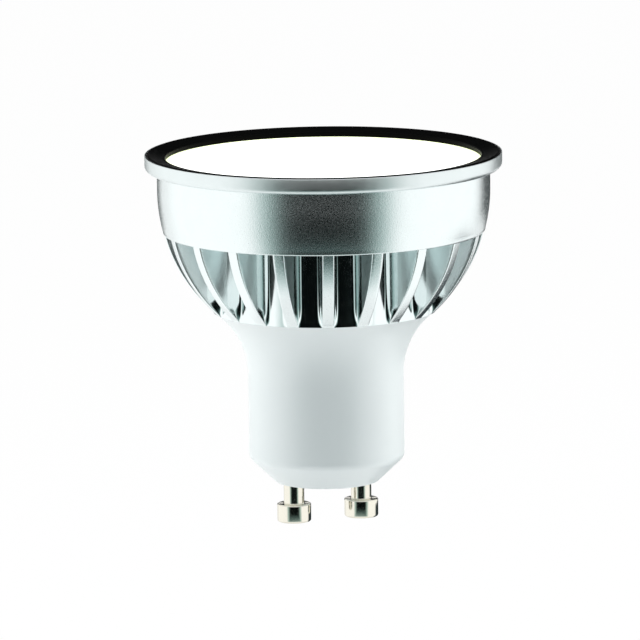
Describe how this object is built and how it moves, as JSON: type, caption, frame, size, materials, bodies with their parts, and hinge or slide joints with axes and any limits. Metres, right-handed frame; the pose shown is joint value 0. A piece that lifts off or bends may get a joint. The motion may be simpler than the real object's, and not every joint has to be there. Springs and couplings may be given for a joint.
{
  "type": "led spot lamp with twist-lock pins",
  "caption": "LED reflector lamp with a finned cast heat sink, opal lit front, white moulded base and twist-lock contact pins.",
  "frame": {"origin": "midway between the two contact pins, in the plane where a lampholder grips their heads", "axes": "+Z along the lamp's axis towards the lit front; the contact pins stand on the X axis"},
  "size_m": [0.05, 0.05, 0.0522],
  "materials": {
    "cast_aluminium": "bead-blasted satin",
    "black_ring": "satin black moulding",
    "opal_cover": "opal, lit",
    "white_base": "satin white moulding",
    "nickel_plate": "bright nickel plate on brass",
    "board_aluminium": "white solder mask",
    "led_body": "phosphor in a white body",
    "green_laminate": "solder mask",
    "capacitor_sleeve": "shrink sleeve",
    "film_case": "dipped case",
    "black_moulding": "moulded epoxy",
    "ferrite": "sintered ferrite",
    "bobbin_nylon": "moulded",
    "winding_tape": "yellow tape over wire",
    "tinned_copper": "tin plate on copper"
  },
  "bodies": {
    "root": {"heat_sink": "cast_aluminium", "front_ring": "black_ring", "diffuser": "opal_cover", "base_housing": "white_base", "contact_pin_live": "nickel_plate", "contact_pin_neutral": "nickel_plate", "led_board": "board_aluminium", "led_packages": "led_body", "driver_board": "green_laminate", "smoothing_capacitor": "capacitor_sleeve", "film_capacitor": "film_case", "input_fuse": "black_moulding", "bridge_rectifier": "black_moulding", "driver_chip": "black_moulding", "output_diode": "black_moulding", "transformer_core": "ferrite", "transformer_bobbin": "bobbin_nylon", "transformer_winding": "winding_tape", "mains_lead_live": "tinned_copper", "mains_lead_neutral": "tinned_copper", "led_lead_positive": "tinned_copper", "led_lead_negative": "tinned_copper"}
  },
  "joints": []
}
